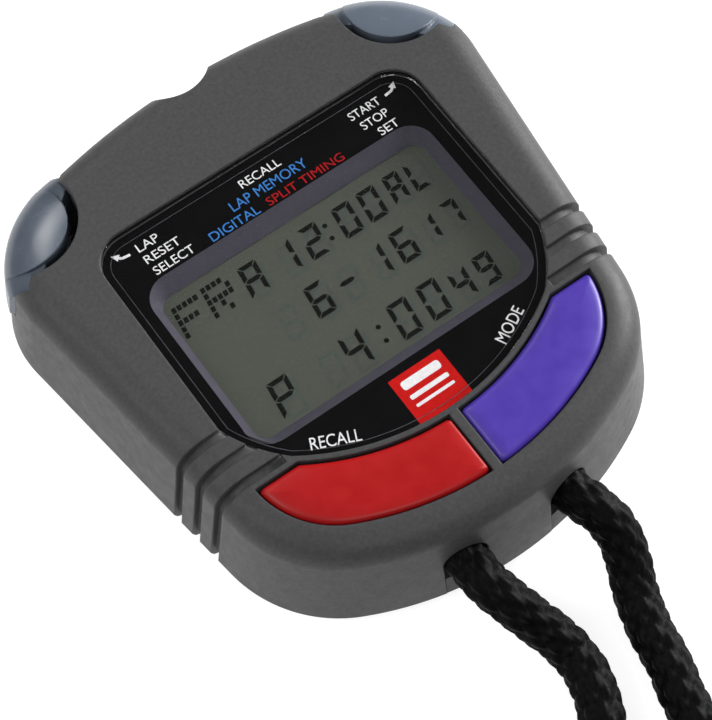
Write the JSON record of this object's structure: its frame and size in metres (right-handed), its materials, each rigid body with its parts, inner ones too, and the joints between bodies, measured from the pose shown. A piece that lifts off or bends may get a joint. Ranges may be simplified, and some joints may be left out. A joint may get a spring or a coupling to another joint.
{
  "type": "digital stopwatch",
  "caption": "Hand-held digital stopwatch with push buttons on its upper corners, face keys below a line display, and a braided lanyard through its lower edge",
  "frame": {"origin": "centre of the watch's back, on the surface that it lies on", "axes": "+Z leaves the display, +Y points to the end with the corner buttons, +X is to the reader's right"},
  "size_m": [0.0795, 0.1754, 0.0173],
  "materials": {
    "case": "fine spark-eroded texture",
    "cover": "fine spark-eroded texture",
    "button": "satin gloss",
    "lens": "clear acrylic, printed black underneath round the window",
    "bezel": "satin",
    "lcd": "satin glass with liquid-crystal segments",
    "reflector": "brushed foil",
    "red_key": "satin gloss",
    "purple_key": "satin gloss",
    "rubber": "matte",
    "silicone": "matte",
    "tape": "matte",
    "board": "solder mask with copper tracks",
    "epoxy": "cast epoxy",
    "black_plastic": "moulded",
    "ceramic": "fired ceramic with tinned ends",
    "steel": "zinc plated",
    "cell_steel": "stamped stainless steel",
    "spring_steel": "drawn wire",
    "brass": "rolled sheet",
    "cord": "shiny black braided polyester"
  },
  "bodies": {
    "watch": {"front_case": "case", "rear_cover": "cover", "case_gasket": "rubber", "case_screws": "steel", "display_lens": "lens", "lens_adhesive": "tape", "display_bezel": "bezel", "lcd_panel": "lcd", "lcd_reflector": "reflector", "zebra_strip_upper": "silicone", "zebra_strip_lower": "silicone", "circuit_board": "board", "board_screws": "steel", "processor_chip": "epoxy", "quartz_crystal": "steel", "chip_parts": "ceramic", "coin_cell": "cell_steel", "cell_holder": "black_plastic", "cell_clip": "steel", "cell_contact": "brass", "piezo_disc": "brass", "buzzer_spring": "spring_steel", "start_stop_spring": "spring_steel", "start_stop_seal": "rubber", "start_stop_contact": "brass", "lap_reset_spring": "spring_steel", "lap_reset_seal": "rubber", "lap_reset_contact": "brass", "keypad_sheet": "silicone", "mode_dome": "cell_steel", "recall_dome": "cell_steel", "lanyard_pin": "steel", "lanyard_inner_turn": "cord", "lanyard_left_strand": "cord", "lanyard_right_strand": "cord", "lanyard_coil": "cord"},
    "start_stop": {"start_stop_button": "button", "start_stop_clip": "steel"},
    "lap_reset": {"lap_reset_button": "button", "lap_reset_clip": "steel"},
    "mode": {"mode_key": "purple_key"},
    "recall": {"recall_key": "red_key"}
  },
  "joints": [
    {"name": "start_stop_press", "type": "slide", "parent": "watch", "child": "start_stop", "axis": [-0.7071, -0.7071, 0], "range_m": [0, 0.0007], "stiffness_N_per_m": 900, "springref_m": -0.0012, "deforming": ["start_stop_spring"]},
    {"name": "lap_reset_press", "type": "slide", "parent": "watch", "child": "lap_reset", "axis": [0.7071, -0.7071, 0], "range_m": [0, 0.0007], "stiffness_N_per_m": 900, "springref_m": -0.0012, "deforming": ["lap_reset_spring"]},
    {"name": "mode_press", "type": "slide", "parent": "watch", "child": "mode", "axis": [0, 0, -1], "range_m": [0, 0.0007], "stiffness_N_per_m": 1200, "springref_m": -0.0003, "deforming": ["mode_dome"]},
    {"name": "recall_press", "type": "slide", "parent": "watch", "child": "recall", "axis": [0, 0, -1], "range_m": [0, 0.0007], "stiffness_N_per_m": 1200, "springref_m": -0.0003, "deforming": ["recall_dome"]}
  ]
}
